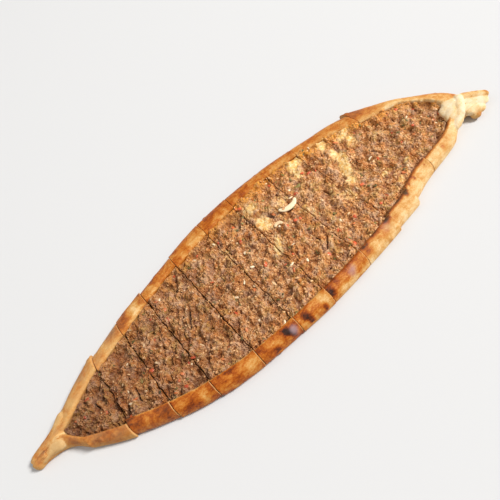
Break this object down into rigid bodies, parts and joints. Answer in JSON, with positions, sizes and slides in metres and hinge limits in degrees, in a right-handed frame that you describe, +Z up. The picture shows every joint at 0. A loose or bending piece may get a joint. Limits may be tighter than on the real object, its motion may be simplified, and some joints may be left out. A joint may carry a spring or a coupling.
{
  "type": "turkish pide",
  "caption": "Long boat of flat bread with a rolled-in rim, pinched tails and a minced-meat filling, cut crosswise into strips.",
  "frame": {"origin": "under the middle of the whole pide, on its flat base", "axes": "+X along the pide towards the knotted tail, +Y to the far side, +Z up"},
  "size_m": [0.5622, 0.1668, 0.0182],
  "materials": {
    "crust_pale": "dry, floury baked dough",
    "crust_golden": "baked dough with darker blisters",
    "crust_cream": "pale baked dough",
    "mince": "moist, crumbly cooked mince",
    "cheese": "melted and browned",
    "pepper": "cooked, slightly glossy",
    "herb": "cooked leaf",
    "onion": "cooked, translucent"
  },
  "bodies": {
    "root": {"crust_01": "crust_pale", "crust_02": "crust_pale", "crust_03": "crust_golden", "crust_04": "crust_golden", "crust_05": "crust_golden", "crust_06": "crust_golden", "crust_07": "crust_golden", "crust_08": "crust_cream", "crust_09": "crust_cream", "crust_10": "crust_cream", "crust_11": "crust_cream", "mince_01": "mince", "mince_02": "mince", "mince_03": "mince", "mince_04": "mince", "mince_05": "mince", "mince_06": "mince", "mince_07": "mince", "mince_08": "mince", "mince_09": "mince", "mince_10": "mince", "mince_11": "mince"}
  },
  "joints": []
}
